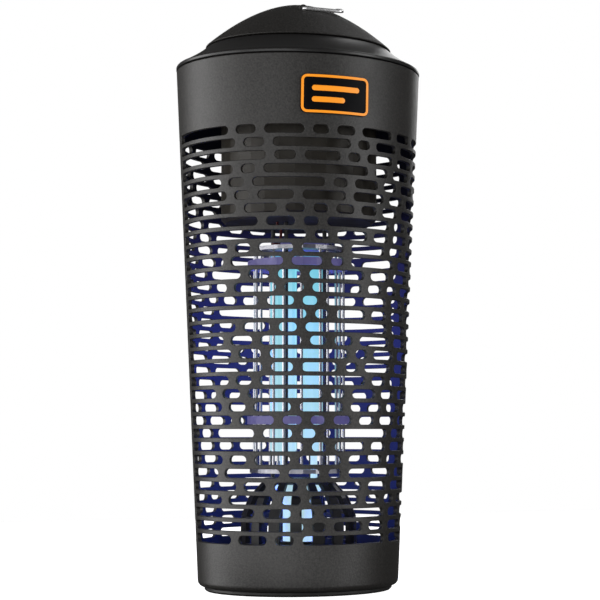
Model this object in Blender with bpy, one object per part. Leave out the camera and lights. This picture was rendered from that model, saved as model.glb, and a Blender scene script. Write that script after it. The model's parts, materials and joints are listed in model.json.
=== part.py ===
"""Electric bug zapper: an oval, tapered hanging lantern.

Frame: metres, +Z up, -Y is the front (the side with the badge).
The origin is the centre of the catch tray's underside, which the lantern stands on.
"""
import bpy
from math import cos, pi, radians, sin, sqrt
from mathutils import Matrix, Vector

MM = 0.001
GAP = 0.3 * MM                      # between pieces that touch

# Lantern body. Every oval piece is a turned shape squashed in Y.
OVAL = 0.835                        # depth over width
RIM_Z = 341.0 * MM
RIM_HALF_WIDTH = 82.8 * MM
TAPER = 0.0475                      # half width lost per unit of height below the rim
WALL = 2.6 * MM
SHELL_BOTTOM_Z = 3.0 * MM
BOTTOM_ROUND = 4.0 * MM
BOTTOM_LIP = 8.0 * MM               # how far the shell's bottom edge turns in
BODY_SIDES = 16

# Slots
SLOT_ROWS = 32
SLOT_PITCH = 8.32 * MM
SLOT_HEIGHT = 5.6 * MM
FIRST_SLOT_Z = 32.4 * MM            # bottom edge of the lowest row
BAR_EVERY = 4                       # one wall division in four stays solid

# Cover: shoulder ring and dome
LIP_Z = 341.8 * MM
LIP_HALF_WIDTH = 83.1 * MM
CROWN_Z = 389.0 * MM
DOME_FOOT_Z = 358.2 * MM
DOME_HALF_WIDTH = 63.3 * MM
DOME_POWER = 1.78                   # crown height lost grows as radius to this power
COVER_WALL = 2.5 * MM
LEDGE_TOP_Z = 333.5 * MM
LEDGE_THICK = 2.6 * MM
LEDGE_DEPTH = 8.5 * MM
LID_THICK = 3.0 * MM

# Hanging bail
BAIL_WIRE = 1.2 * MM                # wire radius
BAIL_PIVOT_X = -6.0 * MM
BAIL_PIVOT_Z = 380.5 * MM
BAIL_HALF_SPAN = 28.0 * MM
BAIL_LENGTH = 28.0 * MM
BAIL_BEND = 4.0 * MM
BAIL_BOW = 5.8 * MM                 # the far side arches up this much to clear the dome
LUG_RADIUS = 3.0 * MM
LUG_ROOT_Y = 15.5 * MM
LUG_FACE_Y = 26.3 * MM
PIN_HOLE_Y = 19.2 * MM              # where the blind hole in a lug ends
PIN_INNER_Y = 20.2 * MM
PIN_BEND = 1.6 * MM

# Badge
BADGE_WIDTH = 46.0 * MM
BADGE_HEIGHT = 24.6 * MM
BADGE_Z = 315.0 * MM
BADGE_THICK = 1.5 * MM
BADGE_CORNER = 4.0 * MM

# Power inlet in the back of the plain band
INLET_Z = 316.0 * MM
INLET_FLANGE = 15.0 * MM
INLET_BODY = 12.6 * MM
INLET_CUP = 10.4 * MM
INLET_DEPTH = 14.0 * MM
BLADE_SPACING = 12.7 * MM
BLADE_SIZE = (1.5 * MM, 10.0 * MM, 6.3 * MM)

# Electronics drum
DRUM_RADIUS = 52.0 * MM
DRUM_WALL = 2.0 * MM
DRUM_BOTTOM_Z = 240.5 * MM
DRUM_FLANGE = 57.2 * MM
BOARD_Z = 252.0 * MM
BOARD_THICK = 1.6 * MM
BOARD_RADIUS = 46.0 * MM
STANDOFF_RADIUS = 2.6 * MM
STANDOFF_CIRCLE = 38.0 * MM
FLANGE_THICK = 2.4 * MM
CORE_PLACE = (-21.0 * MM, 8.0 * MM)             # the core's low corner on the board
CORE_SIZE = (42.0 * MM, 14.0 * MM, 35.0 * MM)
CORE_LEG = 7.0 * MM                             # also the width of its two windows
COIL_OVERHANG = 6.0 * MM
CAPACITOR_SIZE = (18.0 * MM, 10.0 * MM, 16.0 * MM)
CAPACITOR_PLACES = ((-24.0 * MM, -26.0 * MM), (6.0 * MM, -26.0 * MM))
LEAD_CIRCLE = 20.0 * MM
LEAD_RADIUS = 0.9 * MM
LEAD_HOLE = 1.6 * MM

# Screws
SCREW_HOLE = 2.1 * MM
PILOT_HOLE = 1.9 * MM
BOSS_RADIUS = 3.7 * MM
COVER_SCREW_INSET = 4.0 * MM
COVER_SCREW_ANGLES = (42, 138, 222, 318)

# Electrode grids and their insulators
GRID_RODS = 8
GRID_PHASE = radians(7)
OUTER_GRID_RADIUS = 31.0 * MM
INNER_GRID_RADIUS = 25.0 * MM
ROD_RADIUS = 1.0 * MM
GRID_TOP_Z = 224.0 * MM
GRID_BOTTOM_Z = 76.0 * MM
UPPER_INSULATOR_Z = 210.4 * MM
LOWER_INSULATOR_Z = 107.8 * MM
INSULATOR_THICK = 5.2 * MM
INSULATOR_OUTER = 34.0 * MM
INSULATOR_INNER = 22.0 * MM
EAR_RADIUS = 4.3 * MM
POST_X = 13.5 * MM
POST_Y = 13.0 * MM
POST_RADIUS = 1.5 * MM

# Lamp
TUBE_RADIUS = 8.75 * MM
TUBE_WALL = 1.1 * MM
TUBE_X = 10.75 * MM
TUBE_BOTTOM_Z = 90.0 * MM
TUBE_TOP_Z = 221.0 * MM
STEM_RADIUS = 2.35 * MM
LAMP_BASE_TOP_Z = 72.0 * MM
LAMP_SHOULDER_Z = 66.0 * MM
LAMP_NECK_Z = 56.0 * MM
LAMP_BASE_BOTTOM_Z = 24.0 * MM
LAMP_BASE_RADIUS = 15.6 * MM
LAMP_NECK_RADIUS = 10.4 * MM
SOCKET_BOTTOM_Z = 19.0 * MM
SOCKET_LIP_Z = 29.3 * MM
SOCKET_TOP_Z = 31.5 * MM
SOCKET_RADIUS = 12.6 * MM
SOCKET_LIP_RADIUS = 15.0 * MM
RETAINER_HALF_X = 16.5 * MM
RETAINER_HALF_Y = 15.5 * MM
RETAINER_WINDOW = 7.0 * MM

# Bell guard, base ring and tray
BELL_TOP_Z = 72.5 * MM
BELL_RIBS = 16
BELL_WALL = 3.0 * MM
BELL_SHOULDER_Z = 25.0 * MM
HUB_LOW_Z = 25.6 * MM
HUB_HIGH_Z = 28.8 * MM
HUB_INNER = 13.1 * MM
HUB_OUTER = 16.5 * MM
BASE_RING_Z = 6.1 * MM
BASE_RING_THICK = 3.0 * MM
TRAY_HALF_WIDTH = 62.5 * MM
TRAY_LIP_Z = 2.6 * MM
TRAY_WALL = 1.6 * MM
SPIGOT_RADIUS = 42.6 * MM
SPIGOT_TOP_Z = 16.0 * MM
LUG_REACH = 3.2 * MM                # bayonet lugs stand out this far from the spigot
LUG_SPAN = radians(16)
TRAY_TURN = radians(20)

MATERIALS = {
    "shell_plastic": ((0.075, 0.072, 0.068, 1), 0.62, 0.0),
    "cover_plastic": ((0.045, 0.043, 0.041, 1), 0.68, 0.0),
    "chrome_wire": ((0.82, 0.82, 0.82, 1), 0.12, 1.0),
    "badge_face": ((0.02, 0.02, 0.022, 1), 0.35, 0.0),
    "housing_plastic": ((0.12, 0.12, 0.10, 1), 0.6, 0.0),
    "board_green": ((0.03, 0.16, 0.07, 1), 0.5, 0.0),
    "iron_core": ((0.25, 0.24, 0.23, 1), 0.45, 0.9),
    "copper_winding": ((0.60, 0.26, 0.12, 1), 0.4, 0.8),
    "film_blue": ((0.05, 0.16, 0.45, 1), 0.4, 0.0),
    "insulator_lavender": ((0.45, 0.43, 0.62, 1), 0.45, 0.0),
    "grid_steel": ((0.62, 0.63, 0.65, 1), 0.3, 1.0),
    "guard_plastic": ((0.03, 0.03, 0.03, 1), 0.6, 0.0),
    "lamp_glass": ((0.45, 0.85, 0.95, 1), 0.15, 0.0),
    "lamp_white": ((0.80, 0.86, 0.88, 1), 0.4, 0.0),
    "lead_red": ((0.45, 0.03, 0.03, 1), 0.5, 0.0),
    "lead_black": ((0.02, 0.02, 0.02, 1), 0.5, 0.0),
    "screw_steel": ((0.55, 0.55, 0.56, 1), 0.35, 1.0),
    "brass": ((0.78, 0.60, 0.28, 1), 0.3, 1.0),
    "tray_plastic": ((0.04, 0.039, 0.038, 1), 0.55, 0.0),
}


# ---------------------------------------------------------------- helpers

def clear_scene():
    for old in list(bpy.data.objects):
        bpy.data.objects.remove(old, do_unlink=True)


def material(name):
    found = bpy.data.materials.get(name)
    if found:
        return found
    colour, roughness, metallic = MATERIALS[name]
    made = bpy.data.materials.new(name)
    made.use_nodes = True
    shader = made.node_tree.nodes["Principled BSDF"]
    shader.inputs["Base Color"].default_value = colour
    shader.inputs["Roughness"].default_value = roughness
    shader.inputs["Metallic"].default_value = metallic
    return made


def add_mesh(name, points, faces, finish, smooth=True):
    mesh = bpy.data.meshes.new(name)
    mesh.from_pydata(points, [], faces)
    mesh.update()
    thing = bpy.data.objects.new(name, mesh)
    bpy.context.scene.collection.objects.link(thing)
    if finish:
        mesh.materials.append(material(finish))
    if smooth:
        mesh.shade_smooth()
        mesh.set_sharp_from_angle(angle=radians(35))
    return thing


def move_points(thing, matrix):
    thing.data.transform(matrix)
    return thing


def hide_cutter(thing):
    thing.hide_render = True
    thing.display_type = 'WIRE'
    return thing


def combine(thing, other, operation):
    hide_cutter(other)
    step = thing.modifiers.new(operation.lower() + "_" + other.name, 'BOOLEAN')
    step.operation = operation
    step.solver = 'EXACT'
    step.object = other
    return thing


def combine_group(thing, others, operation, label):
    group = bpy.data.collections.new(thing.name + "_" + label)
    bpy.context.scene.collection.children.link(group)
    for other in others:
        hide_cutter(other)
        bpy.context.scene.collection.objects.unlink(other)
        group.objects.link(other)
    step = thing.modifiers.new(label, 'BOOLEAN')
    step.operation = operation
    step.solver = 'EXACT'
    step.operand_type = 'COLLECTION'
    step.collection = group
    return thing


def ring_points(radius, z, sides, squash=1.0):
    return [(radius * cos(2 * pi * i / sides), squash * radius * sin(2 * pi * i / sides), z)
            for i in range(sides)]


def turned(name, profile, finish, sides=32, squash=1.0, closed=True):
    """Turn a profile of (radius, z) about Z. It runs anticlockwise seen with +X to the right.

    A closed profile makes a ring; an open one starts and ends on the axis.
    """
    points = []
    rows = []
    for radius, z in profile:
        if radius == 0:
            rows.append([len(points)])
            points.append((0, 0, z))
        else:
            rows.append(list(range(len(points), len(points) + sides)))
            points += ring_points(radius, z, sides, squash)
    pairs = list(zip(rows, rows[1:]))
    if closed:
        pairs.append((rows[-1], rows[0]))
    faces = []
    for low, high in pairs:
        if len(low) == len(high) == 1:
            continue
        for i in range(sides):
            j = (i + 1) % sides
            if len(low) == 1:
                faces.append((low[0], high[j], high[i]))
            elif len(high) == 1:
                faces.append((low[i], low[j], high[0]))
            else:
                faces.append((low[i], low[j], high[j], high[i]))
    return add_mesh(name, points, faces, finish)


def rod(name, radius, start, end, finish, sides=16):
    """A plain round bar from start to end."""
    start = Vector(start)
    along = Vector(end) - start
    profile = [(0, 0), (radius, 0), (radius, along.length), (0, along.length)]
    made = turned(name, profile, finish, sides, closed=False)
    turn = Vector((0, 0, 1)).rotation_difference(along).to_matrix().to_4x4()
    return move_points(made, Matrix.Translation(start) @ turn)


def block(name, low, high, finish, bevel=0.0):
    x0, y0, z0 = low
    x1, y1, z1 = high
    points = [(x0, y0, z0), (x1, y0, z0), (x1, y1, z0), (x0, y1, z0),
              (x0, y0, z1), (x1, y0, z1), (x1, y1, z1), (x0, y1, z1)]
    faces = [(0, 3, 2, 1), (4, 5, 6, 7), (0, 1, 5, 4), (1, 2, 6, 5), (2, 3, 7, 6), (3, 0, 4, 7)]
    made = add_mesh(name, points, faces, finish)
    if bevel:
        edge = made.modifiers.new("soft_edges", 'BEVEL')
        edge.width = bevel
        edge.segments = 1
        edge.limit_method = 'ANGLE'
    return made


def tube(name, route, radius, finish, resolution=2):
    """A round wire along a list of points, with closed ends."""
    curve = bpy.data.curves.new(name, 'CURVE')
    curve.dimensions = '3D'
    curve.bevel_depth = radius
    curve.bevel_resolution = resolution
    curve.use_fill_caps = True
    spline = curve.splines.new('POLY')
    spline.points.add(len(route) - 1)
    for slot, place in zip(spline.points, route):
        slot.co = (*place, 1)
    spline.use_smooth = True
    curve.materials.append(material(finish))
    made = bpy.data.objects.new(name, curve)
    bpy.context.scene.collection.objects.link(made)
    return made


def lattice(name, levels, sides, is_open, finish, squash=1.0, phase=0.0):
    """A ring-shaped wall with openings.

    levels lists (outer radius, outer z, inner radius, inner z) from bottom to top, and
    is_open(level, division) says which cells between two levels are left out.
    """
    points = []
    for outer_radius, outer_z, inner_radius, inner_z in levels:
        for radius, z in ((outer_radius, outer_z), (inner_radius, inner_z)):
            for i in range(sides):
                angle = phase + 2 * pi * i / sides
                points.append((radius * cos(angle), squash * radius * sin(angle), z))

    def outer(level, i):
        return level * 2 * sides + i % sides

    def inner(level, i):
        return (level * 2 + 1) * sides + i % sides

    last = len(levels) - 1
    faces = []
    for k in range(last):
        for i in range(sides):
            j = i + 1
            if is_open(k, i % sides):
                continue
            faces.append((outer(k, i), outer(k, j), outer(k + 1, j), outer(k + 1, i)))
            faces.append((inner(k, j), inner(k, i), inner(k + 1, i), inner(k + 1, j)))
            if k == 0 or is_open(k - 1, i % sides):
                faces.append((outer(k, j), outer(k, i), inner(k, i), inner(k, j)))
            if k == last - 1 or is_open(k + 1, i % sides):
                faces.append((outer(k + 1, i), outer(k + 1, j), inner(k + 1, j), inner(k + 1, i)))
            if is_open(k, (i - 1) % sides):
                faces.append((outer(k, i), outer(k + 1, i), inner(k + 1, i), inner(k, i)))
            if is_open(k, j % sides):
                faces.append((outer(k + 1, j), outer(k, j), inner(k, j), inner(k + 1, j)))
    return add_mesh(name, points, faces, finish)


def arc(centre, radius, start, end, steps):
    """Points on an arc in a plane, angles in degrees."""
    out = []
    for i in range(steps + 1):
        angle = radians(start + (end - start) * i / steps)
        out.append((centre[0] + radius * cos(angle), centre[1] + radius * sin(angle)))
    return out


def shell_half_width(z):
    return RIM_HALF_WIDTH - (RIM_Z - z) * TAPER


def inside_shell(z):
    """Half width of an oval piece that just fits inside the shell's faceted wall."""
    return (shell_half_width(z) - WALL - GAP) * cos(pi / BODY_SIDES)


def dome_z(radius):
    return CROWN_Z - (CROWN_Z - DOME_FOOT_Z) * (radius / DOME_HALF_WIDTH) ** DOME_POWER


# ---------------------------------------------------------------- grille shell

def slot_levels():
    out = []
    for row in range(SLOT_ROWS):
        low = FIRST_SLOT_Z + row * SLOT_PITCH
        out += [low, low + SLOT_HEIGHT]
    return out


def cover_screw_places():
    """The four screws stand on the shell's ledge, at equal angles from the front."""
    reach = inside_shell(LEDGE_TOP_Z) - COVER_SCREW_INSET
    return [(reach * cos(radians(a)), OVAL * reach * sin(radians(a))) for a in COVER_SCREW_ANGLES]


def make_grille_shell():
    wall = WALL
    turned_in = shell_half_width(SHELL_BOTTOM_Z) - BOTTOM_LIP
    corner = shell_half_width(SHELL_BOTTOM_Z + BOTTOM_ROUND) - BOTTOM_ROUND
    floor_top = SHELL_BOTTOM_Z + wall
    levels = [(turned_in, SHELL_BOTTOM_Z, turned_in, floor_top)]
    outer_arc = arc((corner, SHELL_BOTTOM_Z + BOTTOM_ROUND), BOTTOM_ROUND, -90, 0, 3)
    inner_arc = arc((corner, SHELL_BOTTOM_Z + BOTTOM_ROUND), BOTTOM_ROUND - wall, -90, 0, 3)
    for outside, inside in zip(outer_arc, inner_arc):
        levels.append((*outside, *inside))
    first_slot_level = len(levels)
    for z in slot_levels():
        half = shell_half_width(z)
        levels.append((half, z, half - wall, z))
    ledge_low = LEDGE_TOP_Z - LEDGE_THICK
    ledge = ((ledge_low - MM, ledge_low, 0), (ledge_low, ledge_low, LEDGE_DEPTH),
             (LEDGE_TOP_Z, LEDGE_TOP_Z, LEDGE_DEPTH), (LEDGE_TOP_Z + MM, LEDGE_TOP_Z, 0),
             (RIM_Z, RIM_Z, 0))
    for outer_z, inner_z, depth in ledge:
        half = shell_half_width(outer_z)
        levels.append((half, outer_z, half - wall - depth, inner_z))

    def is_open(level, division):
        row, in_web = divmod(level - first_slot_level, 2)
        if level < first_slot_level or in_web or row >= SLOT_ROWS:
            return False
        return (division + 2 * (row % 2)) % BAR_EVERY != 0

    shell = lattice("grille_shell", levels, BODY_SIDES, is_open, "shell_plastic", OVAL)
    cutters = []
    for i, (x, y) in enumerate(cover_screw_places()):
        cutters.append(rod(f"ledge_hole_{i}", SCREW_HOLE, (x, y, ledge_low - 2 * MM),
                           (x, y, LEDGE_TOP_Z + 2 * MM), None, 10))
    cutters.append(rod("inlet_hole", INLET_BODY + 0.4 * MM, (0, DRUM_RADIUS, INLET_Z),
                       (0, RIM_HALF_WIDTH, INLET_Z), None, 24))
    return combine_group(shell, cutters, 'DIFFERENCE', "holes")


# ---------------------------------------------------------------- cover

def make_shoulder_ring():
    skirt = inside_shell(RIM_Z - 8 * MM)
    skirt_low = LEDGE_TOP_Z + LID_THICK + 2 * GAP
    seat = DOME_FOOT_Z - 1.4 * MM - GAP
    hole = 56.0 * MM
    profile = [
        (skirt, skirt_low),
        (skirt, LIP_Z),
        (LIP_HALF_WIDTH, LIP_Z),
        (LIP_HALF_WIDTH, LIP_Z + 1.6 * MM),
        (LIP_HALF_WIDTH - 0.5 * MM, LIP_Z + 2.8 * MM),
        (LIP_HALF_WIDTH - 1.6 * MM, LIP_Z + 4.0 * MM),
        (76.8 * MM, 347.6 * MM),
        (71.9 * MM, 350.4 * MM),
        (67.8 * MM, 353.9 * MM),
        (DOME_HALF_WIDTH + 0.9 * MM, DOME_FOOT_Z),
        (DOME_HALF_WIDTH + GAP, DOME_FOOT_Z),
        (DOME_HALF_WIDTH + GAP, seat),
        (hole, seat),
        (hole, seat - COVER_WALL),
        (DOME_HALF_WIDTH, seat - 1.6 * MM),
        (skirt - 2.0 * MM, 342.8 * MM),
        (skirt - 2.0 * MM, skirt_low),
    ]
    ring = turned("shoulder_ring", profile, "cover_plastic", 32, OVAL)
    bosses = []
    holes = []
    for i, (x, y) in enumerate(cover_screw_places()):
        bosses.append(rod(f"boss_{i}", BOSS_RADIUS, (x, y, skirt_low), (x, y, LIP_Z + 3.6 * MM), None, 12))
        holes.append(rod(f"boss_hole_{i}", SCREW_HOLE, (x, y, skirt_low - MM),
                         (x, y, LIP_Z + 1.8 * MM), None, 10))
    combine_group(ring, bosses, 'UNION', "bosses")
    return combine_group(ring, holes, 'DIFFERENCE', "boss_holes")


def make_dome_cap():
    steps = 7
    outside = []
    for i in range(steps, 0, -1):
        radius = DOME_HALF_WIDTH * i / steps
        outside.append((radius, dome_z(radius)))
    foot = DOME_FOOT_Z - 1.4 * MM
    inner_reach = DOME_HALF_WIDTH - COVER_WALL
    drop = CROWN_Z - 2.6 * MM - foot
    inside = []
    for i in range(1, 4):
        radius = inner_reach * i / 3
        inside.append((radius, foot + drop * (1 - (radius / inner_reach) ** DOME_POWER)))
    profile = [(0, foot + drop)] + inside + [(DOME_HALF_WIDTH, foot)] + outside + [(0, CROWN_Z)]
    dome = turned("dome_cap", profile, "cover_plastic", 32, OVAL, closed=False)
    lugs = []
    holes = []
    for side, label in ((-1, "front"), (1, "back")):
        lugs.append(rod("lug_" + label, LUG_RADIUS, (BAIL_PIVOT_X, side * LUG_ROOT_Y, BAIL_PIVOT_Z),
                        (BAIL_PIVOT_X, side * LUG_FACE_Y, BAIL_PIVOT_Z), None, 16))
        holes.append(rod("pin_hole_" + label, BAIL_WIRE + 0.4 * MM,
                         (BAIL_PIVOT_X, side * PIN_HOLE_Y, BAIL_PIVOT_Z),
                         (BAIL_PIVOT_X, side * (LUG_FACE_Y + 5 * MM), BAIL_PIVOT_Z), None, 12))
    combine_group(dome, lugs, 'UNION', "lugs")
    return combine_group(dome, holes, 'DIFFERENCE', "pin_holes")


def make_hanging_bail():
    """A wire U whose two ends turn in to the lugs. At rest it lies over the dome, its far side bowed."""
    bend = BAIL_BEND
    span = BAIL_HALF_SPAN
    half = [(0, PIN_INNER_Y), (0, span - PIN_BEND)]
    half += [(PIN_BEND * (1 - cos(t)), span - PIN_BEND * (1 - sin(t)))
             for t in (radians(30), radians(60), radians(90))]
    half.append((BAIL_LENGTH - bend, span))
    half += [(BAIL_LENGTH - bend + bend * sin(t), span - bend + bend * cos(t))
             for t in (radians(22.5), radians(45), radians(67.5), radians(90))]
    half += [(BAIL_LENGTH, (span - bend) * t) for t in (0.75, 0.5, 0.25)]
    flat = [(x, -y) for x, y in half] + [(BAIL_LENGTH, 0)] + [(x, y) for x, y in reversed(half)]
    route = []
    for x, y in flat:
        on_far_side = x > BAIL_LENGTH - bend
        route.append((x, y, BAIL_BOW * (1 - (y / span) ** 2) if on_far_side else 0))
    bail = tube("hanging_bail", route, BAIL_WIRE, "chrome_wire")
    bail.location = (BAIL_PIVOT_X, 0, BAIL_PIVOT_Z)
    return bail


# ---------------------------------------------------------------- badge and inlet

def front_surface(x, z, stand_off):
    """The y of a surface that stands off the shell's front."""
    half = shell_half_width(z) + stand_off / OVAL
    return -OVAL * sqrt(half * half - x * x)


def make_badge():
    """A rounded plate that follows the shell's curve."""
    columns = []
    corner = BADGE_CORNER
    half = BADGE_WIDTH / 2
    for turn in (radians(10), radians(45), radians(90)):
        inset = corner * (1 - sin(turn))
        columns.append((-half + corner * (1 - cos(turn)), BADGE_HEIGHT / 2 - inset))
    flat = half - corner
    columns += [(-flat + 2 * flat * i / 6, BADGE_HEIGHT / 2) for i in range(1, 6)]
    columns += [(-x, height) for x, height in reversed(columns[:3])]
    points = []
    for x, height in columns:
        for stand_off, z in ((GAP, -height), (GAP, height), (GAP + BADGE_THICK, height),
                             (GAP + BADGE_THICK, -height)):
            points.append((x, front_surface(x, BADGE_Z + z, stand_off), BADGE_Z + z))
    faces = [(0, 3, 2, 1)]
    for k in range(len(columns) - 1):
        for i in range(4):
            j = (i + 1) % 4
            a, b = 4 * k + i, 4 * k + j
            faces.append((a, b, b + 4, a + 4))
    end = 4 * (len(columns) - 1)
    faces.append((end, end + 1, end + 2, end + 3))
    return add_mesh("badge_plate", points, faces, "badge_face")


def inlet_face_y():
    return -front_surface(0, BADGE_Z + BADGE_HEIGHT / 2, GAP + BADGE_THICK)


def make_power_inlet():
    """A cup with a flange, its mouth facing the back, and two blades on its floor."""
    face = inlet_face_y()
    flange = 1.2 * MM
    depth = INLET_DEPTH
    profile = [(0, -depth), (INLET_BODY, -depth), (INLET_BODY, -flange), (INLET_FLANGE, -flange),
               (INLET_FLANGE, 0), (INLET_CUP, 0), (INLET_CUP, 2 * MM - depth), (0, 2 * MM - depth)]
    cup = turned("power_inlet", profile, "guard_plastic", 24, closed=False)
    facing_back = Matrix.Rotation(radians(-90), 4, 'X')
    move_points(cup, Matrix.Translation((0, face, INLET_Z)) @ facing_back)
    wide, deep, tall = BLADE_SIZE
    floor = face - depth + 2 * MM + GAP
    for label, x in (("1", -BLADE_SPACING / 2), ("2", BLADE_SPACING / 2)):
        block("inlet_blade_" + label, (x - wide / 2, floor, INLET_Z - tall / 2),
              (x + wide / 2, floor + deep, INLET_Z + tall / 2), "brass", 0.3 * MM)
    return cup


# ---------------------------------------------------------------- electronics

def drum_screw_places():
    reach = (DRUM_RADIUS + DRUM_FLANGE) / 2
    return [(reach * cos(radians(a)), reach * sin(radians(a))) for a in (0, 180)]


def lead_places():
    """Where the two leads leave the drum's floor, and the grid radius each one goes to."""
    return [("lead_red", radians(205), OUTER_GRID_RADIUS),
            ("lead_black", radians(335), INNER_GRID_RADIUS)]


def lead_holes(label, low, high):
    holes = []
    for finish, angle, _ in lead_places():
        x, y = LEAD_CIRCLE * cos(angle), LEAD_CIRCLE * sin(angle)
        holes.append(rod(f"{label}_hole_for_{finish}", LEAD_HOLE, (x, y, low), (x, y, high), None, 10))
    return holes


def make_electronics_housing():
    top = LEDGE_TOP_Z
    flange_low = top - FLANGE_THICK
    floor = DRUM_BOTTOM_Z + FLANGE_THICK
    inner = DRUM_RADIUS - DRUM_WALL
    soft = 3 * MM
    profile = [(0, DRUM_BOTTOM_Z), (DRUM_RADIUS - soft, DRUM_BOTTOM_Z),
               (DRUM_RADIUS, DRUM_BOTTOM_Z + soft), (DRUM_RADIUS, flange_low),
               (DRUM_FLANGE, flange_low), (DRUM_FLANGE, top), (inner, top), (inner, floor), (0, floor)]
    drum = turned("electronics_housing", profile, "housing_plastic", 32, closed=False)
    posts = []
    for i in range(3):
        angle = radians(90 + 120 * i)
        x, y = STANDOFF_CIRCLE * cos(angle), STANDOFF_CIRCLE * sin(angle)
        posts.append(rod(f"standoff_{i}", STANDOFF_RADIUS, (x, y, floor - MM), (x, y, BOARD_Z - GAP),
                         None, 8))
    combine_group(drum, posts, 'UNION', "standoffs")
    holes = []
    for i, (x, y) in enumerate(drum_screw_places()):
        holes.append(rod(f"drum_screw_hole_{i}", PILOT_HOLE, (x, y, flange_low - MM), (x, y, top + MM),
                         None, 10))
    holes += lead_holes("drum", DRUM_BOTTOM_Z - MM, floor + MM)
    return combine_group(drum, holes, 'DIFFERENCE', "drum_holes")


def make_housing_lid():
    low = LEDGE_TOP_Z + GAP
    high = low + LID_THICK
    outer = inside_shell(low)
    profile = [(0, low), (outer, low), (outer, high), (0, high)]
    lid = turned("housing_lid", profile, "housing_plastic", 36, OVAL, closed=False)
    holes = [rod(f"lid_hole_{i}", SCREW_HOLE, (x, y, low - MM), (x, y, high + MM), None, 10)
             for i, (x, y) in enumerate(cover_screw_places())]
    holes += [rod(f"lid_pilot_{i}", PILOT_HOLE, (x, y, low - MM), (x, y, high + MM), None, 10)
              for i, (x, y) in enumerate(drum_screw_places())]
    return combine_group(lid, holes, 'DIFFERENCE', "lid_holes")


def make_screw(name, x, y, seat_z, length, shank, head):
    """A pan-head screw driven upwards, its head under seat_z."""
    head_thick = 2.0 * MM
    top = seat_z - GAP
    profile = [(0, top - head_thick), (0.75 * head, top - head_thick), (head, top - 0.55 * head_thick),
               (head, top), (shank, top), (shank, top + length - shank), (0.3 * shank, top + length),
               (0, top + length)]
    screw = turned(name, profile, "screw_steel", 12, closed=False)
    return move_points(screw, Matrix.Translation((x, y, 0)))


def make_circuit_board():
    top = BOARD_Z + BOARD_THICK
    profile = [(0, BOARD_Z), (BOARD_RADIUS, BOARD_Z), (BOARD_RADIUS, top), (0, top)]
    disc = turned("circuit_board", profile, "board_green", 28, closed=False)
    return combine_group(disc, lead_holes("board", BOARD_Z - MM, top + MM), 'DIFFERENCE', "board_holes")


def make_transformer():
    """An E-I core standing on the board, with the winding round its middle leg."""
    low = BOARD_Z + BOARD_THICK + GAP
    leg = CORE_LEG
    x0, y0 = CORE_PLACE
    width, depth, height = CORE_SIZE
    y1, high = y0 + depth, low + height
    core = block("transformer_core", (x0, y0, low), (x0 + width, y1, high), "iron_core", 0.4 * MM)
    windows = []
    for i in range(2):
        x = x0 + leg + 3 * i * leg
        windows.append(block(f"core_window_{i}", (x, y0 - MM, low + leg),
                             (x + leg, y1 + MM, high - leg), None))
    combine_group(core, windows, 'DIFFERENCE', "windows")
    mid_x = x0 + width / 2
    outer = 2 * leg - GAP
    coil = block("transformer_coil", (mid_x - outer, y0 - COIL_OVERHANG, low + leg + GAP),
                 (mid_x + outer, y1 + COIL_OVERHANG, high - leg - GAP), "copper_winding", 1.5 * MM)
    bore = block("coil_bore", (mid_x - leg - GAP, y0 - GAP, low), (mid_x + leg + GAP, y1 + GAP, high), None)
    combine(coil, bore, 'DIFFERENCE')
    return core


def make_capacitors():
    low = BOARD_Z + BOARD_THICK + GAP
    wide, deep, tall = CAPACITOR_SIZE
    for number, (x, y) in enumerate(CAPACITOR_PLACES, 1):
        block(f"capacitor_{number}", (x, y, low), (x + wide, y + deep, low + tall), "film_blue", 1.5 * MM)


def make_grid_leads():
    """Each lead hangs from its hole in the drum's floor in a slack curve down to its grid."""
    straight = 0.35
    for finish, angle, reach in lead_places():
        start = Vector((LEAD_CIRCLE * cos(angle), LEAD_CIRCLE * sin(angle), BOARD_Z - 1.5 * MM))
        turn = angle + radians(12)
        end = Vector((reach * cos(turn), reach * sin(turn), GRID_TOP_Z + 1.2 * MM))
        sideways = Vector((-sin(angle), cos(angle), 0))
        route = []
        for i in range(11):
            t = i / 10
            past = max(0, (t - straight) / (1 - straight))
            place = start.lerp(end, past ** 1.5)
            if past:
                place += 4 * MM * sin(pi * t) * sideways
            route.append((place.x, place.y, start.z + (end.z - start.z) * min(1, 1.5 * t)))
        tube("grid_" + finish, route, LEAD_RADIUS, finish, 1)


# ---------------------------------------------------------------- lamp and grids

def post_places():
    return [(sx * POST_X, sy * POST_Y) for sx, sy in ((-1, -1), (1, -1), (1, 1), (-1, 1))]


def rod_angles(offset):
    return [GRID_PHASE + offset + 2 * pi * i / GRID_RODS for i in range(GRID_RODS)]


GRIDS = (("outer_grid", OUTER_GRID_RADIUS, 0.0), ("inner_grid", INNER_GRID_RADIUS, pi / GRID_RODS))


def make_grid(name, radius, offset):
    """Upright rods joined at both ends by a square-section hoop."""
    hoop = 1.3 * MM

    def hoop_profile(z):
        inner, outer, high = radius - hoop, radius + hoop, z + 2 * hoop
        return [(inner, z), (outer, z), (outer, high), (inner, high)]

    top = turned(name, hoop_profile(GRID_TOP_Z - 2 * hoop), "grid_steel", 24)
    low = turned(name + "_low_hoop", hoop_profile(GRID_BOTTOM_Z), None, 24)
    rods = [low]
    for i, angle in enumerate(rod_angles(offset)):
        x, y = radius * cos(angle), radius * sin(angle)
        rods.append(rod(f"{name}_rod_{i}", ROD_RADIUS, (x, y, GRID_BOTTOM_Z + hoop),
                        (x, y, GRID_TOP_Z - hoop), None, 6))
    return combine_group(top, rods, 'UNION', "rods")


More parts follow.
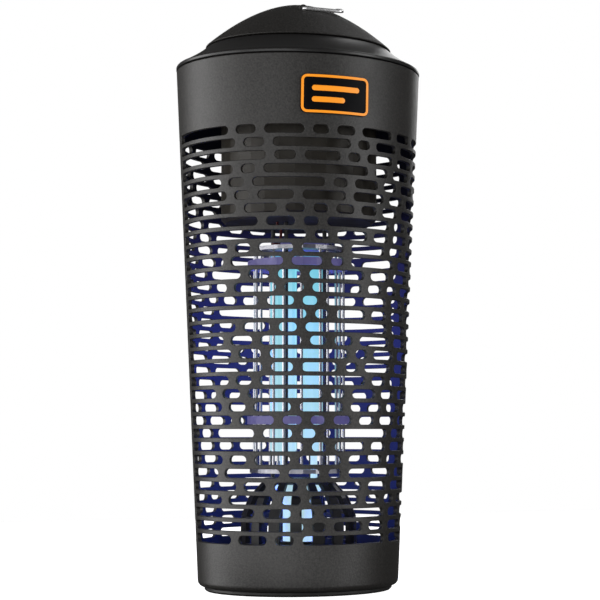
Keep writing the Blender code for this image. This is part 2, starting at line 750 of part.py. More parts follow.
def make_insulator(name, low):
    high = low + INSULATOR_THICK
    profile = [(INSULATOR_INNER, low), (INSULATOR_OUTER, low),
               (INSULATOR_OUTER, high), (INSULATOR_INNER, high)]
    ring = turned(name, profile, "insulator_lavender", 24)
    ears = [rod(f"{name}_ear_{i}", EAR_RADIUS, (x, y, low), (x, y, high), None, 12)
            for i, (x, y) in enumerate(post_places())]
    combine_group(ring, ears, 'UNION', "ears")
    holes = [rod(f"{name}_post_hole_{i}", POST_RADIUS + GAP, (x, y, low - MM), (x, y, high + MM), None, 10)
             for i, (x, y) in enumerate(post_places())]
    for grid, radius, offset in GRIDS:
        for i, angle in enumerate(rod_angles(offset)):
            x, y = radius * cos(angle), radius * sin(angle)
            holes.append(rod(f"{name}_{grid}_{i}", ROD_RADIUS + 0.4 * MM, (x, y, low - MM),
                             (x, y, high + MM), None, 6))
    return combine_group(ring, holes, 'DIFFERENCE', "rod_holes")


def make_support_posts():
    for number, (x, y) in enumerate(post_places(), 1):
        rod(f"support_post_{number}", POST_RADIUS, (x, y, BELL_TOP_Z + GAP), (x, y, DRUM_BOTTOM_Z - GAP),
            "guard_plastic", 8)


def make_lamp():
    """Two hollow tubes side by side, bridged near the top, open only where the stems enter."""
    mouth = STEM_RADIUS + 0.35 * MM
    radius = TUBE_RADIUS
    inner = radius - TUBE_WALL
    low, high = TUBE_BOTTOM_Z, TUBE_TOP_Z
    round_top = 3.5 * MM
    outside = [(mouth, low), (radius - MM, low), (radius, low + MM)]
    outside += [(radius - round_top + r, high - round_top + z)
                for r, z in arc((0, 0), round_top, 0, 90, 3)] + [(0, high)]
    inside = [(0, high - TUBE_WALL), (inner - round_top + TUBE_WALL, high - TUBE_WALL),
              (inner, high - round_top), (inner, low + TUBE_WALL), (mouth, low + TUBE_WALL)]
    tubes = []
    for label, x in (("uv_lamp", -TUBE_X), ("uv_lamp_right", TUBE_X)):
        leg = turned(label, outside + inside, "lamp_glass", 16)
        tubes.append(move_points(leg, Matrix.Translation((x, 0, 0))))
    reach = TUBE_X - radius + 0.5 * MM
    bridge_z = high - 9 * MM
    bridge = rod("lamp_bridge", 2.6 * MM, (-reach, 0, bridge_z), (reach, 0, bridge_z), None, 12)
    combine(tubes[0], bridge, 'UNION')
    return combine(tubes[0], tubes[1], 'UNION')


def make_lamp_base():
    top = LAMP_BASE_TOP_Z
    profile = [(0, LAMP_BASE_BOTTOM_Z), (LAMP_NECK_RADIUS, LAMP_BASE_BOTTOM_Z),
               (LAMP_NECK_RADIUS, LAMP_NECK_Z), (LAMP_BASE_RADIUS, LAMP_SHOULDER_Z),
               (LAMP_BASE_RADIUS, top - MM), (LAMP_BASE_RADIUS - MM, top), (0, top)]
    base = turned("lamp_base", profile, "lamp_white", 24, closed=False)
    stems = [rod(f"lamp_stem_{i}", STEM_RADIUS, (x, 0, top - 2 * MM), (x, 0, TUBE_BOTTOM_Z + 3 * MM),
                 None, 10)
             for i, x in enumerate((-TUBE_X, TUBE_X))]
    return combine_group(base, stems, 'UNION', "stems")


def make_lamp_socket():
    bore = LAMP_NECK_RADIUS + 0.5 * MM
    floor = LAMP_BASE_BOTTOM_Z - 0.6 * MM
    profile = [(0, SOCKET_BOTTOM_Z), (SOCKET_RADIUS, SOCKET_BOTTOM_Z), (SOCKET_RADIUS, SOCKET_LIP_Z),
               (SOCKET_LIP_RADIUS, SOCKET_LIP_Z), (SOCKET_LIP_RADIUS, SOCKET_TOP_Z),
               (bore, SOCKET_TOP_Z), (bore, floor), (0, floor)]
    return turned("lamp_socket", profile, "housing_plastic", 24, closed=False)


def make_lamp_retainer():
    """A plate on the four posts that steadies the lamp's top."""
    low, high = TUBE_TOP_Z + 0.8 * MM, TUBE_TOP_Z + 6.0 * MM
    x, y = RETAINER_HALF_X, RETAINER_HALF_Y
    plate = block("lamp_retainer", (-x, -y, low), (x, y, high), "insulator_lavender", 1.0 * MM)
    holes = [rod(f"retainer_hole_{i}", POST_RADIUS + GAP, (x, y, low - MM), (x, y, high + MM), None, 10)
             for i, (x, y) in enumerate(post_places())]
    holes.append(rod("retainer_window", RETAINER_WINDOW, (0, 0, low - MM), (0, 0, high + MM), None, 16))
    return combine_group(plate, holes, 'DIFFERENCE', "retainer_holes")


# ---------------------------------------------------------------- bell guard, base ring, tray

def make_bell_guard():
    """Ribs that lean in to a top ring, a middle hoop, a skirt on the base ring and a spoked hub."""
    foot = BASE_RING_Z + BASE_RING_THICK + GAP
    outline = [(49.6 * MM, foot), (49.2 * MM, foot + 4 * MM), (38.4 * MM, BELL_SHOULDER_Z),
               (38.2 * MM, 31.0 * MM), (38.0 * MM, 45.0 * MM), (37.8 * MM, 48.0 * MM),
               (33.0 * MM, 60.0 * MM), (24.5 * MM, 69.5 * MM), (22.8 * MM, BELL_TOP_Z)]
    levels = []
    for k, (radius, z) in enumerate(outline):
        leaning = 5 < k < len(outline) - 1
        levels.append((radius, z, radius - BELL_WALL, z - (MM if leaning else 0)))

    def is_open(level, division):
        return level in (3, 5, 6) and division % 2 == 1

    bell = lattice("bell_guard", levels, 2 * BELL_RIBS, is_open, "guard_plastic", 1.0, -pi / (2 * BELL_RIBS))
    hub = turned("bell_hub", [(HUB_INNER, HUB_LOW_Z), (HUB_OUTER, HUB_LOW_Z), (HUB_OUTER, HUB_HIGH_Z),
                              (HUB_INNER, HUB_HIGH_Z)], None, 24)
    spokes = []
    for i in range(4):
        angle = radians(45 + 90 * i)
        spoke = block(f"bell_spoke_{i}", (HUB_OUTER - 1.3 * MM, -2 * MM, HUB_LOW_Z),
                      (36.6 * MM, 2 * MM, HUB_HIGH_Z), None)
        spokes.append(move_points(spoke, Matrix.Rotation(angle, 4, 'Z')))
    pads = [rod(f"post_pad_{i}", 3.2 * MM, (x, y, BELL_TOP_Z - 2.6 * MM), (x, y, BELL_TOP_Z), None, 10)
            for i, (x, y) in enumerate(post_places())]
    return combine_group(bell, [hub] + spokes + pads, 'UNION', "hub")


def make_base_ring():
    low = BASE_RING_Z
    high = low + BASE_RING_THICK
    outer = (shell_half_width(low) - BOTTOM_ROUND - GAP) * cos(pi / BODY_SIDES)
    hole = SPIGOT_RADIUS + 0.7 * MM
    plate = turned("base_ring", [(0, low), (outer, low), (outer, high), (0, high)], "cover_plastic",
                   36, OVAL, closed=False)
    cutters = [rod("base_ring_bore", hole, (0, 0, low - MM), (0, 0, high + MM), None, 40)]
    for i in range(3):
        cutters.append(lug_sector(f"lug_notch_{i}", radians(120 * i + 30) + TRAY_TURN, low - MM,
                                  high + MM, hole - 2 * MM, SPIGOT_RADIUS + LUG_REACH + 0.5 * MM,
                                  LUG_SPAN + radians(3)))
    return combine_group(plate, cutters, 'DIFFERENCE', "bore_and_notches")


def lug_sector(name, angle, low, high, inner, outer, span, finish=None):
    """A short sector of a ring, centred on an angle."""
    steps = 3
    flat = []
    for i in range(steps + 1):
        turn = angle - span / 2 + span * i / steps
        flat.append((outer * cos(turn), outer * sin(turn)))
    for i in range(steps, -1, -1):
        turn = angle - span / 2 + span * i / steps
        flat.append((inner * cos(turn), inner * sin(turn)))
    count = len(flat)
    points = [(x, y, low) for x, y in flat] + [(x, y, high) for x, y in flat]
    faces = [tuple(reversed(range(count))), tuple(range(count, 2 * count))]
    for i in range(count):
        j = (i + 1) % count
        faces.append((i, j, j + count, i + count))
    return add_mesh(name, points, faces, finish, smooth=False)


def make_catch_tray():
    """An oval foot with a round cup on it; the cup's three lugs lock over the base ring."""
    soft = 1.2 * MM
    foot = [(0, 0), (TRAY_HALF_WIDTH - soft, 0), (TRAY_HALF_WIDTH, soft), (TRAY_HALF_WIDTH, TRAY_LIP_Z),
            (0, TRAY_LIP_Z)]
    tray = turned("catch_tray", foot, "tray_plastic", 36, OVAL, closed=False)
    cup = rod("tray_cup", SPIGOT_RADIUS, (0, 0, TRAY_LIP_Z - MM), (0, 0, SPIGOT_TOP_Z), None, 36)
    lug_low = BASE_RING_Z + BASE_RING_THICK + 0.5 * MM
    lugs = [lug_sector(f"tray_lug_{i}", radians(120 * i + 30), lug_low, lug_low + 2.2 * MM,
                       SPIGOT_RADIUS - MM, SPIGOT_RADIUS + LUG_REACH, LUG_SPAN) for i in range(3)]
    combine_group(tray, [cup] + lugs, 'UNION', "cup_and_lugs")
    hollow = rod("tray_hollow", SPIGOT_RADIUS - TRAY_WALL, (0, 0, TRAY_WALL),
                 (0, 0, SPIGOT_TOP_Z + MM), None, 36)
    return combine(tray, hollow, 'DIFFERENCE')


def main():
    clear_scene()
    make_grille_shell()
    make_shoulder_ring()
    make_dome_cap()
    make_hanging_bail()
    make_badge()
    make_power_inlet()
    make_electronics_housing()
    make_housing_lid()
    for number, (x, y) in enumerate(cover_screw_places(), 1):
        make_screw(f"cover_screw_{number}", x, y, LEDGE_TOP_Z - LEDGE_THICK, 12 * MM, 1.7 * MM, 3.1 * MM)
    for number, (x, y) in enumerate(drum_screw_places(), 1):
        make_screw(f"housing_screw_{number}", x, y, LEDGE_TOP_Z - FLANGE_THICK, 5 * MM, 1.5 * MM, 2.2 * MM)
    make_circuit_board()
    make_transformer()
    make_capacitors()
    make_grid_leads()
    for name, radius, offset in GRIDS:
        make_grid(name, radius, offset)
    make_insulator("upper_insulator", UPPER_INSULATOR_Z)
    make_insulator("lower_insulator", LOWER_INSULATOR_Z)
    make_support_posts()
    make_lamp()
    make_lamp_base()
    make_lamp_socket()
    make_lamp_retainer()
    make_bell_guard()
    make_base_ring()
    make_catch_tray()


main()
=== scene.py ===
"""Looks for the electric bug zapper: finer pieces, materials, light and camera.

Metres, +Z up, -Y is the front. The origin is the centre of the catch tray's underside.
"""
import json
from math import acos, cos, hypot, pi, radians, sin, sqrt

import bpy
from mathutils import Euler, Matrix, Vector
from mathutils.geometry import delaunay_2d_cdt


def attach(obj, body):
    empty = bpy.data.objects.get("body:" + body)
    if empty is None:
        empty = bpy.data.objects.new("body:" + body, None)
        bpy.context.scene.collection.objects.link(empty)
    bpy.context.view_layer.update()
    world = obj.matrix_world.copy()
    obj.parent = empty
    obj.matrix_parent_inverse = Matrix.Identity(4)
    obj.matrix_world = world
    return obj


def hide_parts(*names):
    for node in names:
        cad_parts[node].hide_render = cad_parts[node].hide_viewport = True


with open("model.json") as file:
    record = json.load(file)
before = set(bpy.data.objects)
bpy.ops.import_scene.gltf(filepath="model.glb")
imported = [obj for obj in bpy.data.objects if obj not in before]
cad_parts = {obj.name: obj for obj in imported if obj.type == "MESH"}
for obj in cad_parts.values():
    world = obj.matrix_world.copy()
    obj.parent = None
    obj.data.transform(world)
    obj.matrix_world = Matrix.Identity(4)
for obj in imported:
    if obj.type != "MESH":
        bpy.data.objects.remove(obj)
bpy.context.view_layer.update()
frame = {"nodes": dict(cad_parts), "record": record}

MM = 0.001
GAP = 0.3 * MM                      # between two pieces that rest on each other

# Shell: an oval that narrows downwards
OVAL = 0.835
RIM_Z = 341.0 * MM
RIM_HALF_WIDTH = 82.8 * MM
RIM_EDGE = 0.5 * MM
TAPER = 0.0475
WALL = 2.6 * MM
SHELL_BOTTOM_Z = 3.0 * MM
BOTTOM_ROUND = 4.0 * MM
BOTTOM_LIP = 8.0 * MM

# Slots
SLOT_ROWS = 32
SLOT_PITCH = 8.32 * MM
SLOT_HEIGHT = 5.6 * MM
FIRST_SLOT_Z = 32.4 * MM
SLOT_BAR = 5.5 * MM                 # least width of the plastic between two slots
SLOT_EDGE = 0.35 * MM               # softened edge of a slot
SHORTEST_SLOT = 7.5 * MM
FRONT_START = radians(-184.5)       # a solid rib stands at either side, between front and back
FRONT_END = radians(-8)
BACK_START = radians(7)
BACK_END = radians(168)
SEAM = (FRONT_START + BACK_END - 2 * pi) / 2    # in the middle of the rib on the left

# Where the bars between slots stand, in mm to the right of the middle, lowest row first.
# The pattern starts again after sixteen rows.
BAR_ROWS = (
    (-55, -36, -20, 44, 62),
    (-14, 0, 26, 43, 60),
    (-43, -22, -7, 43, 58),
    (-60, -33, -16, 23, 39, 52),
    (-53, -37, -18, 25, 45, 64),
    (-62, -29, -4, 10, 49, 66),
    (-60, -48, -23, 10, 41, 58),
    (-15, 0, 27, 44, 62),
    (-44, -22, -7, 45, 60),
    (-56, -33, -16, -1, 17, 34, 52),
    (-61, -49, -23, 11, 40, 57),
    (-64, -52, -3, 12, 35, 51, 68),
    (-58, -46, 27, 43, 63),
    (-40, -22, 7, 21, 47, 66),
    (-57, -41, 14, 28, 50),
    (-61, -46, -17, -1, 17, 46, 63),
)

# Shoulder: a rolled lip, then a cove up to a crease under the dome
LIP_Z = 341.8 * MM
LIP_HALF_WIDTH = 83.1 * MM
LIP_UNDER_ROUND = 0.5 * MM
LIP_TOP_ROUND = 1.2 * MM
LIP_TOP_RISE = 1.4 * MM
COVE_IN = 2.2 * MM                  # the cove starts this far in from the lip's edge
COVE_UP = 3.2 * MM
COVE_PULL = (70.0 * MM, 350.6 * MM)
COVE_TUCK = 0.3 * MM
CREASE_DEPTH = 1.4 * MM
SHOULDER_HOLE = 56 * MM
SKIRT_PLAY = 1.5 * MM
SKIRT_DEPTH = 6 * MM

# Dome
CROWN_Z = 389.0 * MM
DOME_FOOT_Z = 358.2 * MM
DOME_HALF_WIDTH = 63.3 * MM
DOME_POWER = 1.78
DOME_EDGE = 0.5 * MM
DOME_FOOT_WIDTH = 3.5 * MM
DOME_SWELL = 0.2 * MM               # blends the dome into its rounded edge

# Bail and its lugs
BAIL_WIRE = 1.2 * MM
BAIL_PIVOT_X = -6.0 * MM
BAIL_PIVOT_Z = 380.5 * MM
BAIL_HALF_SPAN = 28.0 * MM
BAIL_LENGTH = 28.0 * MM
BAIL_BEND = 4.0 * MM
BAIL_BOW = 5.8 * MM
PIN_BEND = 1.6 * MM
PIN_INNER_Y = 20.2 * MM
LUG_RADIUS = 3.0 * MM
LUG_ROOT_Y = 15.5 * MM
LUG_FACE_Y = 26.3 * MM
LUG_EDGE = 0.5 * MM
LUG_HOLE_PLAY = 0.4 * MM
LUG_HOLE_EDGE = 0.2 * MM
LUG_HOLE_END = 2 * MM

# Badge
BADGE_WIDTH = 46.0 * MM
BADGE_HEIGHT = 24.6 * MM
BADGE_Z = 315.0 * MM
BADGE_THICK = 1.5 * MM
BADGE_CORNER = 4.0 * MM
BORDER_INSET = 0.25 * MM
BORDER_WIDTH = 1.6 * MM
PRINT_THICK = 0.12 * MM
PRINT_SUNK = 0.1 * MM
LONG_STRIPE = 32 * MM
SHORT_STRIPE = 22 * MM
STRIPE_HEIGHT = 3.4 * MM
STRIPE_CORNER = 1.69 * MM
STRIPE_RISE = 3.6 * MM              # each stripe's middle above or below the badge's middle

# Light
LAMP_BOTTOM_Z = 90.0 * MM
LAMP_TOP_Z = 221.0 * MM
LAMP_GLOW = 0.84
WORLD_FILL = 0.06
FLOOR_GLOW = 1.1
LAMP_MIDDLE = (0, 0, 0.19)
COVER_MIDDLE = (0, 0, 0.35)
GLOW_POWER = 0.05
GLOW_SIZE = 4 * MM
GLOW_PLACES = (                     # in mm: beside the lamp's legs, and round its lower end
    (0, -19, 172), (0, 19, 165), (0, -19, 140), (0, 19, 125), (0, -19, 100),
    (22, 0, 160), (-22, 0, 150), (22, 0, 110), (-22, 0, 120),
    (20, 8, 62), (-20, 8, 62), (18, -12, 40), (-18, 12, 40),
)

# Camera
CAMERA_TURN = radians(-20)          # the lantern is seen from this side of its front
CAMERA_REACH = 1.0614
CAMERA_HEIGHT = 0.1046
CAMERA_TILT = radians(4.61)
CAMERA_ASIDE = 0.0009
LENS = 96.0

# Fineness
ROUND_SIDES = 96
SLOT_STEP = radians(3)
SLOT_ARC_STEPS = 8


# ---------------------------------------------------------------- node materials

def new_material(name):
    made = bpy.data.materials.new(name)
    made.use_nodes = True
    return made, made.node_tree, made.node_tree.nodes["Principled BSDF"]


def object_place(tree, stretch=(1, 1, 1)):
    """Object coordinates, stretched along an axis for a drawn wire."""
    where = tree.nodes.new("ShaderNodeTexCoord")
    mapping = tree.nodes.new("ShaderNodeMapping")
    mapping.inputs["Scale"].default_value = stretch
    tree.links.new(where.outputs["Object"], mapping.inputs["Vector"])
    return mapping.outputs["Vector"]


def height_in(tree, place, low, high):
    """Height as 0 at low and 1 at high."""
    split = tree.nodes.new("ShaderNodeSeparateXYZ")
    tree.links.new(place, split.inputs["Vector"])
    return spread(tree, split.outputs["Z"], 0.0, 1.0, (low, high))


def noise(tree, place, scale, detail=3.0, roughness=0.55):
    made = tree.nodes.new("ShaderNodeTexNoise")
    made.inputs["Scale"].default_value = scale
    made.inputs["Detail"].default_value = detail
    made.inputs["Roughness"].default_value = roughness
    tree.links.new(place, made.inputs["Vector"])
    return made.outputs["Fac"]


def ramp(tree, value, stops):
    made = tree.nodes.new("ShaderNodeValToRGB")
    steps = made.color_ramp.elements
    while len(steps) < len(stops):
        steps.new(0.5)
    for step, (place, colour) in zip(steps, stops):
        step.position = place
        step.color = (*colour, 1)
    tree.links.new(value, made.inputs["Fac"])
    return made.outputs["Color"]


def spread(tree, value, low, high, source=(0.3, 0.7)):
    """Carries the source range over to low and high."""
    made = tree.nodes.new("ShaderNodeMapRange")
    made.inputs["From Min"].default_value = source[0]
    made.inputs["From Max"].default_value = source[1]
    made.inputs["To Min"].default_value = low
    made.inputs["To Max"].default_value = high
    tree.links.new(value, made.inputs["Value"])
    return made.outputs["Result"]


def bump(tree, shader, height, strength, distance):
    made = tree.nodes.new("ShaderNodeBump")
    made.inputs["Strength"].default_value = strength
    made.inputs["Distance"].default_value = distance
    tree.links.new(height, made.inputs["Height"])
    tree.links.new(made.outputs["Normal"], shader.inputs["Normal"])


def tinted(colour, amount):
    return tuple(min(1.0, c * amount) for c in colour)


def lit(tree, shader, colour, strength):
    tree.links.new(colour, shader.inputs["Emission Color"])
    shader.inputs["Emission Strength"].default_value = strength


def moulded(name, colour, rough, blotch=80.0, grain=900.0, grain_depth=0.05, change=0.15,
            stretch=(1, 1, 1), metallic=0.0, rough_change=0.07, specular=0.5, speckle=False):
    """Moulded or worked surface: slow change of tone, fine grain (its depth in mm), uneven sheen."""
    made, tree, shader = new_material(name)
    place = object_place(tree, stretch)
    slow = noise(tree, place, blotch, 4.0)
    fine = noise(tree, place, grain, 2.0)
    uneven = fine if speckle else slow
    tone = ramp(tree, uneven, ((0.3, tinted(colour, 1 - change)), (0.7, tinted(colour, 1 + change))))
    tree.links.new(tone, shader.inputs["Base Color"])
    tree.links.new(spread(tree, slow, rough + rough_change, rough - rough_change),
                   shader.inputs["Roughness"])
    shader.inputs["Metallic"].default_value = metallic
    shader.inputs["Specular IOR Level"].default_value = specular
    bump(tree, shader, fine, 0.6, grain_depth * MM)
    return made


def banded(name, colour, rough, bands, direction):
    """Wound or stacked metal: fine bands along one direction."""
    made, tree, shader = new_material(name)
    place = object_place(tree)
    wave = tree.nodes.new("ShaderNodeTexWave")
    wave.bands_direction = direction
    wave.inputs["Scale"].default_value = bands
    wave.inputs["Distortion"].default_value = 0.6
    tree.links.new(place, wave.inputs["Vector"])
    tone = ramp(tree, wave.outputs["Fac"], ((0.1, tinted(colour, 0.55)), (0.6, colour)))
    tree.links.new(tone, shader.inputs["Base Color"])
    slow = noise(tree, place, 90.0)
    tree.links.new(spread(tree, slow, rough + 0.08, rough - 0.08), shader.inputs["Roughness"])
    shader.inputs["Metallic"].default_value = 0.8
    bump(tree, shader, wave.outputs["Fac"], 0.7, 0.2 * MM)
    return made


def painted_lamp_glow(name, colour, glow, strength, rough=0.45):
    """Pale plastic beside the lamp, with a painted glow standing in for the lamp's light on it."""
    made = moulded(name, colour, rough, blotch=60.0, grain_depth=0.04, change=0.12)
    tree = made.node_tree
    cloud = noise(tree, object_place(tree), 120.0)
    # Painted glow: patchy emission in the colour of the lamp's light.
    painted_glow_tones = ramp(tree, cloud, ((0.25, tinted(glow, 0.75)), (0.75, tinted(glow, 1.1))))
    lit(tree, tree.nodes["Principled BSDF"], painted_glow_tones, strength)
    return made


# ---------------------------------------------------------------- materials

def shell_grain():
    return moulded("shell_grain", (0.025, 0.0236, 0.0222), 0.46, blotch=28.0, grain=850.0,
                   grain_depth=0.22, change=0.55, rough_change=0.03, speckle=True)


def cover_grain():
    return moulded("cover_grain", (0.021, 0.0195, 0.018), 0.60, blotch=24.0, grain=850.0,
                   grain_depth=0.26, change=0.55, specular=0.38, speckle=True)


def shoulder_satin():
    """The shoulder is smoother than the shell and the dome."""
    return moulded("shoulder_satin", (0.016, 0.0156, 0.0156), 0.32, blotch=26.0, grain=1400.0,
                   grain_depth=0.02, change=0.08, rough_change=0.03)


def tray_grain():
    return moulded("tray_grain", (0.020, 0.0195, 0.019), 0.55, blotch=30.0, grain=1000.0, change=0.12)


def housing_grey():
    return moulded("housing_grey", (0.030, 0.025, 0.018), 0.55, blotch=40.0, change=0.18)


def guard_black():
    return moulded("guard_black", (0.013, 0.0125, 0.012), 0.45, blotch=40.0)


def capacitor_blue():
    return moulded("capacitor_blue", (0.05, 0.16, 0.45), 0.38, blotch=60.0, grain=700.0,
                   grain_depth=0.04)


def lead_red():
    return moulded("lead_red_skin", (0.10, 0.012, 0.012), 0.5, grain=700.0, grain_depth=0.03)


def lead_black():
    return moulded("lead_black_skin", (0.016, 0.016, 0.017), 0.5, grain=700.0, grain_depth=0.03,
                   change=0.2)


def badge_black():
    return moulded("badge_black", (0.004, 0.004, 0.005), 0.42, blotch=40.0, grain=1500.0,
                   grain_depth=0.01, change=0.2, specular=0.06)


def badge_orange():
    """Printed orange, with a little painted glow that keeps it vivid."""
    made = moulded("badge_print_glow", (0.86, 0.27, 0.012), 0.42, blotch=70.0, grain=1500.0,
                   grain_depth=0.01, change=0.06)
    shader = made.node_tree.nodes["Principled BSDF"]
    # Painted glow on the orange print.
    shader.inputs["Emission Color"].default_value = (0.80, 0.27, 0.004, 1)
    shader.inputs["Emission Strength"].default_value = 0.5
    return made


def bail_chrome():
    return moulded("bail_chrome", (0.92, 0.92, 0.93), 0.26, blotch=120.0, grain_depth=0.01,
                   change=0.04, metallic=0.8, rough_change=0.04)


def drawn_wire():
    """The electrode wires, marked along their length."""
    return moulded("drawn_wire", (0.50, 0.50, 0.53), 0.34, blotch=40.0, grain=500.0,
                   grain_depth=0.02, change=0.2, stretch=(4, 4, 0.3), metallic=1.0)


def zinc_plate():
    return moulded("zinc_plate", (0.52, 0.52, 0.53), 0.35, blotch=90.0, grain=800.0,
                   grain_depth=0.02, change=0.1, metallic=1.0)


def blade_brass():
    return moulded("blade_brass", (0.70, 0.52, 0.24), 0.3, blotch=90.0, grain=800.0,
                   grain_depth=0.02, change=0.1, metallic=1.0)


def laminated_iron():
    return banded("laminated_iron", (0.20, 0.19, 0.18), 0.45, 900.0, 'Y')


def enamelled_copper():
    return banded("enamelled_copper", (0.60, 0.26, 0.12), 0.35, 700.0, 'Z')


def insulator_glow():
    # Painted blue glow of the lamp's light on the insulators.
    return painted_lamp_glow("insulator_glow", (0.15, 0.14, 0.28), (0.15, 0.13, 0.42), 0.30, rough=0.4)


def lamp_base_painted_glow():
    # Painted cyan glow of the lamp's light on its white base.
    return painted_lamp_glow("lamp_base_painted_glow", (0.20, 0.26, 0.30), (0.55, 0.82, 0.92), 0.85)


def lamp_glass():
    """Phosphor glow, deeper at the top of the legs and paler towards their foot."""
    made, tree, shader = new_material("lamp_glow")
    place = object_place(tree)
    up = height_in(tree, place, LAMP_BOTTOM_Z, LAMP_TOP_Z)
    glow = ramp(tree, up, ((0.0, (0.50, 0.82, 0.92)), (0.45, (0.40, 0.79, 0.90)),
                           (0.93, (0.22, 0.70, 0.86)), (1.0, (0.12, 0.32, 0.62))))
    cloud = noise(tree, place, 160.0)
    base = ramp(tree, cloud, ((0.3, (0.02, 0.03, 0.035)), (0.7, (0.03, 0.045, 0.05))))
    tree.links.new(base, shader.inputs["Base Color"])
    tree.links.new(spread(tree, cloud, 0.14, 0.22), shader.inputs["Roughness"])
    lit(tree, shader, glow, LAMP_GLOW)
    return made


def shell_inside():
    """The shell's inner face: dark, with a painted blue glow where the lamp's ultraviolet falls on it.
    """
    made, tree, shader = new_material("shell_inner_glow")
    place = object_place(tree)
    up = height_in(tree, place, 0.0, 0.30)
    cloud = noise(tree, place, 22.0, 3.0)
    # Painted lamp light: a blue glow by height that fades out towards the foot and the top.
    glow = ramp(tree, up, ((0.06, (0.0005, 0.0006, 0.002)), (0.2, (0.007, 0.012, 0.075)),
                           (0.55, (0.013, 0.017, 0.125)), (0.74, (0.010, 0.010, 0.06)),
                           (0.84, (0.0004, 0.0004, 0.001))))
    tone = ramp(tree, cloud, ((0.3, (0.009, 0.009, 0.010)), (0.7, (0.014, 0.014, 0.016))))
    tree.links.new(tone, shader.inputs["Base Color"])
    tree.links.new(spread(tree, cloud, 0.75, 0.6), shader.inputs["Roughness"])
    shader.inputs["Specular IOR Level"].default_value = 0.2
    bump(tree, shader, noise(tree, place, 1100.0, 2.0), 0.5, 0.05 * MM)
    lit(tree, shader, glow, 1.0)
    return made


def solder_resist():
    """Solder resist over fine copper tracks."""
    made, tree, shader = new_material("solder_resist")
    place = object_place(tree)
    cells = tree.nodes.new("ShaderNodeTexVoronoi")
    cells.feature = 'DISTANCE_TO_EDGE'
    cells.inputs["Scale"].default_value = 170.0
    tree.links.new(place, cells.inputs["Vector"])
    edge = cells.outputs["Distance"]
    tone = ramp(tree, edge, ((0.04, (0.05, 0.24, 0.11)), (0.09, (0.02, 0.12, 0.05))))
    tree.links.new(tone, shader.inputs["Base Color"])
    tree.links.new(spread(tree, noise(tree, place, 200.0), 0.4, 0.25), shader.inputs["Roughness"])
    bump(tree, shader, edge, 0.3, 0.1 * MM)
    return made


def floor_white():
    made, tree, shader = new_material("floor_white")
    cloud = noise(tree, object_place(tree), 4.0)
    tone = ramp(tree, cloud, ((0.3, (0.93, 0.93, 0.93)), (0.7, (0.96, 0.96, 0.96))))
    tree.links.new(tone, shader.inputs["Base Color"])
    lit(tree, shader, tone, FLOOR_GLOW)
    shader.inputs["Roughness"].default_value = 0.9
    return made


def make_materials():
    """The finish of each of the record's material slots."""
    return {
        "shell_plastic": shell_grain(),
        "cover_plastic": cover_grain(),
        "chrome_wire": bail_chrome(),
        "badge_face": badge_black(),
        "housing_plastic": housing_grey(),
        "board_green": solder_resist(),
        "iron_core": laminated_iron(),
        "copper_winding": enamelled_copper(),
        "film_blue": capacitor_blue(),
        "insulator_lavender": insulator_glow(),
        "grid_steel": drawn_wire(),
        "guard_plastic": guard_black(),
        "lamp_glass": lamp_glass(),
        "lamp_white": lamp_base_painted_glow(),
        "lead_red": lead_red(),
        "lead_black": lead_black(),
        "screw_steel": zinc_plate(),
        "brass": blade_brass(),
        "tray_plastic": tray_grain(),
    }


def dress_nodes(finishes):
    """Every CAD node takes the material of its slot."""
    for part in frame["record"]["subparts"]:
        node = frame["nodes"][part["node"]]
        for slot in node.material_slots:
            slot.material = finishes[part["material_slot"]]


# ---------------------------------------------------------------- mesh helpers

def add_piece(name, points, faces, finish, body="root", normals=None, sharp=35.0,
              second=None, second_faces=range(0)):
    """A mesh piece. Where a second material is given, it goes on the second faces."""
    mesh = bpy.data.meshes.new(name)
    mesh.from_pydata(points, [], faces)
    mesh.materials.append(finish)
    if second:
        mesh.materials.append(second)
        for i in second_faces:
            mesh.polygons[i].material_index = 1
    mesh.shade_smooth()
    if normals is None:
        mesh.set_sharp_from_angle(angle=radians(sharp))
    else:
        mesh.normals_split_custom_set_from_vertices(normals)
    made = bpy.data.objects.new(name, mesh)
    bpy.context.scene.collection.objects.link(made)
    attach(made, body)
    return made


def wire(name, route, radius, finish, body):
    """A round wire along a list of points."""
    shape = bpy.data.curves.new(name, 'CURVE')
    shape.dimensions = '3D'
    shape.bevel_depth = radius
    shape.bevel_resolution = 6
    shape.use_fill_caps = True
    spline = shape.splines.new('POLY')
    spline.points.add(len(route) - 1)
    for point, place in zip(spline.points, route):
        point.co = (*place, 1)
    spline.use_smooth = True
    shape.materials.append(finish)
    made = bpy.data.objects.new(name, shape)
    bpy.context.scene.collection.objects.link(made)
    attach(made, body)
    return made


def turned(profile, sides=ROUND_SIDES, squash=1.0):
    """Points and faces of a profile of (radius, z) turned about Z, bottom to top."""
    points = []
    rows = []
    for radius, z in profile:
        count = 1 if radius == 0 else sides
        rows.append(range(len(points), len(points) + count))
        for i in range(count):
            angle = 2 * pi * i / sides
            points.append((radius * cos(angle), squash * radius * sin(angle), z))
    faces = []
    for low, high in zip(rows, rows[1:]):
        for i in range(sides):
            j = (i + 1) % sides
            if len(low) == 1:
                faces.append((low[0], high[j], high[i]))
            elif len(high) == 1:
                faces.append((low[i], low[j], high[0]))
            else:
                faces.append((low[i], low[j], high[j], high[i]))
    return points, faces


def moved(points, matrix):
    return [tuple(matrix @ Vector(p)) for p in points]


def joined(parts):
    """One list of points and faces out of several."""
    points = []
    faces = []
    for more_points, more_faces in parts:
        start = len(points)
        points += more_points
        faces += [tuple(start + i for i in face) for face in more_faces]
    return points, faces


def arc(centre, radius, start, end, steps):
    out = []
    for i in range(steps + 1):
        angle = radians(start + (end - start) * i / steps)
        out.append((centre[0] + radius * cos(angle), centre[1] + radius * sin(angle)))
    return out


